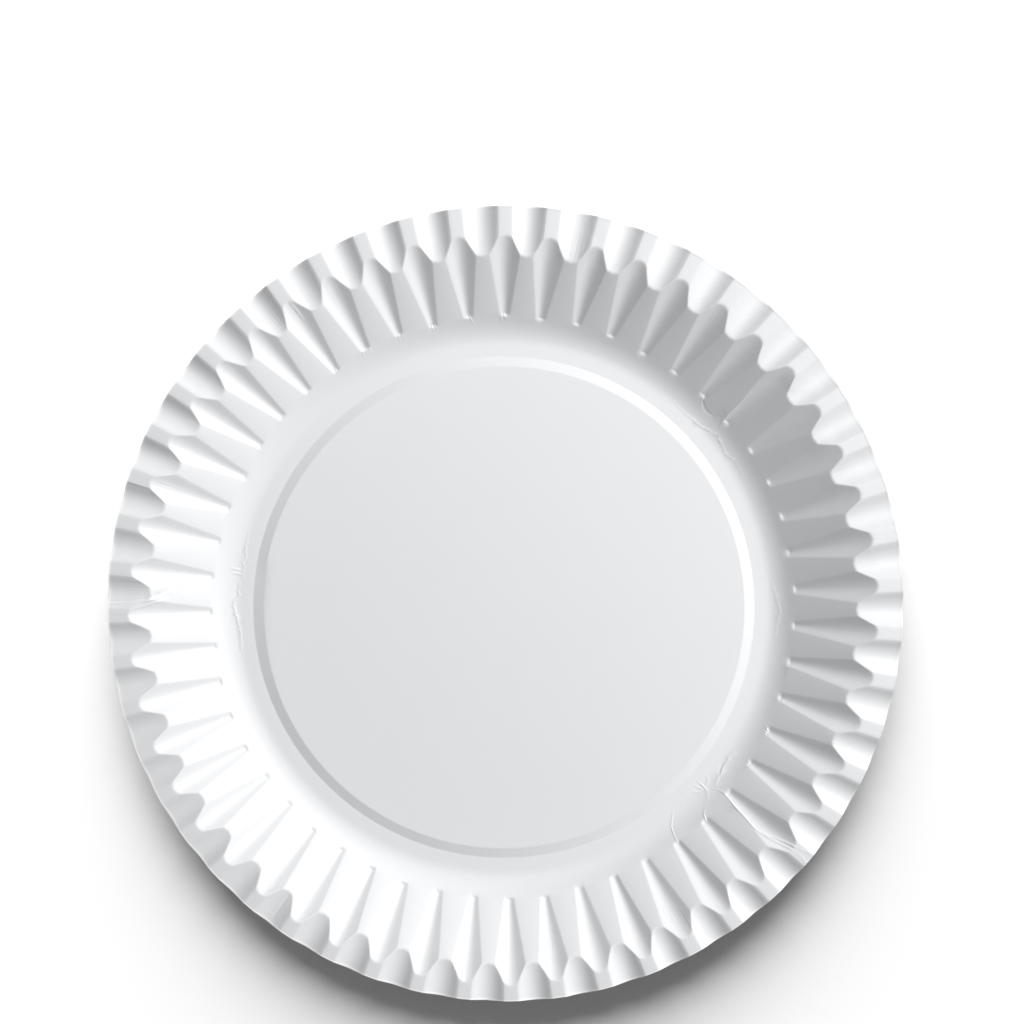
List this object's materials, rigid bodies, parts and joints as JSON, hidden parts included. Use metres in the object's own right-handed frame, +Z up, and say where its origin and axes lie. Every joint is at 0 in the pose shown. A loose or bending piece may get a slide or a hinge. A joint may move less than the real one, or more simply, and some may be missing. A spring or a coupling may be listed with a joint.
{
  "type": "paper plate",
  "caption": "Round fluted plate pressed from white coated board, with a raised centre panel, a foot ring, a sloping grooved wall and a lobed flange, for serving food.",
  "frame": {"origin": "on the plate's axis, at the level of the underside of the foot ring it stands on", "axes": "+Z up along the plate's axis, out of its open side; +X through the middle of one lobe of the flange, halfway between two flutes; both repeat round the axis"},
  "size_m": [0.23, 0.23, 0.014],
  "materials": {
    "coated_board": "white board with a smooth, faintly glossy coating on top and a plain underside"
  },
  "bodies": {
    "root": {"plate": "coated_board"}
  },
  "joints": []
}
